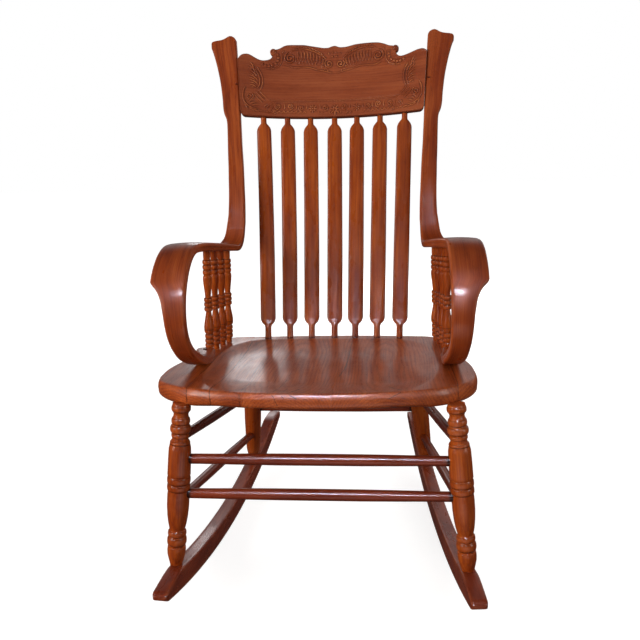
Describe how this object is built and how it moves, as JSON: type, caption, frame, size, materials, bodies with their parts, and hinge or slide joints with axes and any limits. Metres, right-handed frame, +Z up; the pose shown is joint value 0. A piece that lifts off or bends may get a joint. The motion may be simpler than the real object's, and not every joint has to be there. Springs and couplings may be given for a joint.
{
  "type": "platform rocker",
  "caption": "Antique-style wooden rocking armchair with bent curled arms, flat back spindles, a pressed crest rail, a dished seat and two runners.",
  "frame": {"origin": "middle of the outer box on the floor under the runners", "axes": "+X to the right as seen from the front, +Y towards the back, +Z up"},
  "size_m": [0.5788, 0.8298, 1.0266],
  "materials": {
    "seat_wood": "glossy varnish over a red-brown stain",
    "bent_wood": "glossy varnish over a red-brown stain",
    "carved_wood": "satin varnish over a red-brown stain",
    "turned_wood": "glossy varnish over an orange-brown stain",
    "dark_wood": "glossy varnish over a dark stain",
    "screw_steel": "darkened"
  },
  "bodies": {
    "root": {"back_spindle_1": "turned_wood", "back_spindle_2": "turned_wood", "back_spindle_3": "turned_wood", "back_spindle_4": "turned_wood", "back_spindle_5": "turned_wood", "back_spindle_6": "turned_wood", "back_spindle_7": "turned_wood", "crest_rail": "carved_wood", "front_stretcher_lower": "dark_wood", "front_stretcher_upper": "dark_wood", "left_arm_and_post": "bent_wood", "left_arm_screw": "screw_steel", "left_arm_spindle_1": "turned_wood", "left_arm_spindle_2": "turned_wood", "left_arm_spindle_3": "turned_wood", "left_arm_spindle_4": "turned_wood", "left_crest_pin": "dark_wood", "left_front_leg": "turned_wood", "left_front_leg_pin": "dark_wood", "left_rear_leg": "turned_wood", "left_rear_leg_pin": "dark_wood", "left_runner": "dark_wood", "left_side_stretcher_lower": "dark_wood", "left_side_stretcher_upper": "dark_wood", "rear_stretcher": "dark_wood", "right_arm_and_post": "bent_wood", "right_arm_screw": "screw_steel", "right_arm_spindle_1": "turned_wood", "right_arm_spindle_2": "turned_wood", "right_arm_spindle_3": "turned_wood", "right_arm_spindle_4": "turned_wood", "right_crest_pin": "dark_wood", "right_front_leg": "turned_wood", "right_front_leg_pin": "dark_wood", "right_rear_leg": "turned_wood", "right_rear_leg_pin": "dark_wood", "right_runner": "dark_wood", "right_side_stretcher_lower": "dark_wood", "right_side_stretcher_upper": "dark_wood", "seat_board_1": "seat_wood", "seat_board_2": "seat_wood", "seat_board_3": "seat_wood", "seat_board_4": "seat_wood", "seat_board_5": "seat_wood", "seat_board_6": "seat_wood"}
  },
  "joints": []
}
